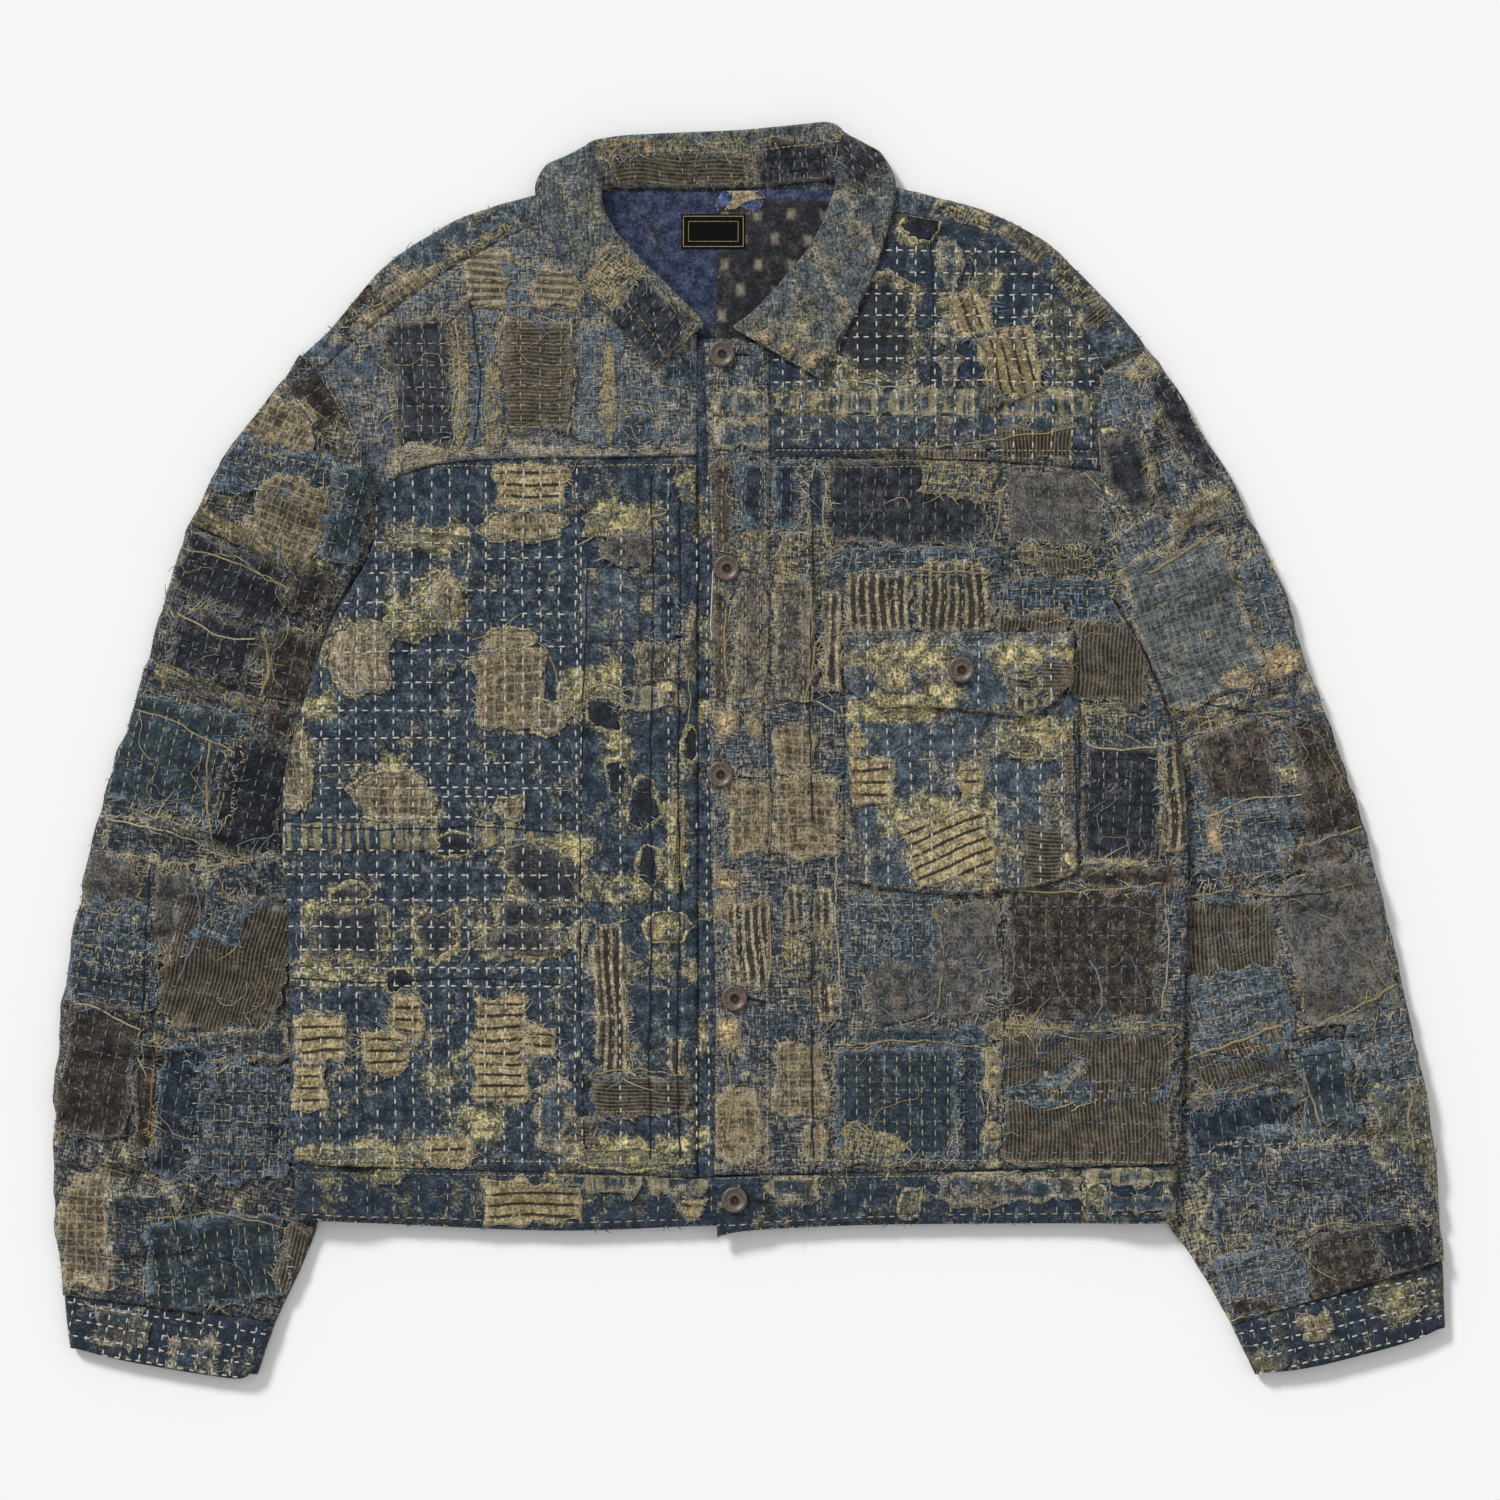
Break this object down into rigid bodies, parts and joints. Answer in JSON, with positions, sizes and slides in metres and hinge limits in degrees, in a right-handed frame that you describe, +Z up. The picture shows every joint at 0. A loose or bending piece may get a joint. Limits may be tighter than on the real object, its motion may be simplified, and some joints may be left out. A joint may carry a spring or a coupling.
{
  "type": "patched boro work jacket",
  "caption": "Waist-length buttoned work jacket of layered indigo patchwork with a point collar, yokes, a flapped chest pocket, plackets, a waistband and cuffed sleeves, laid flat.",
  "frame": {"origin": "bottom centre of the bounding box, on the surface that the jacket lies on", "axes": "+X towards the wearer's left, +Y towards the collar, +Z up, out of the jacket's front"},
  "size_m": [0.8892, 0.8043, 0.0169],
  "materials": {
    "indigo_cloth": "faded hand-quilted indigo cotton, matt, with pale running stitches",
    "patched_cloth": "overlapping worn cotton patches in striped, checked and plain weaves, frayed at their edges",
    "collar_cloth": "worn striped and plain cotton patches, frayed at the roll",
    "lining_cloth": "plain blue cotton beside dark cotton with rows of cream dots",
    "label_cloth": "close black woven tape with a gold border, no text",
    "button_metal": "dull antiqued tack-button metal"
  },
  "bodies": {
    "root": {"back": "indigo_cloth", "back_yoke": "patched_cloth", "front_right": "indigo_cloth", "front_left": "patched_cloth", "front_yoke_right": "patched_cloth", "front_yoke_left": "indigo_cloth", "placket_right": "indigo_cloth", "placket_left": "patched_cloth", "waistband": "indigo_cloth", "sleeve_right": "patched_cloth", "sleeve_left": "patched_cloth", "cuff_right": "indigo_cloth", "cuff_left": "indigo_cloth", "pocket": "indigo_cloth", "pocket_flap": "indigo_cloth", "collar": "collar_cloth", "neck_lining": "lining_cloth", "neck_label": "label_cloth", "button_1": "button_metal", "button_2": "button_metal", "button_3": "button_metal", "button_4": "button_metal", "button_5": "button_metal", "button_pocket": "button_metal"}
  },
  "joints": []
}
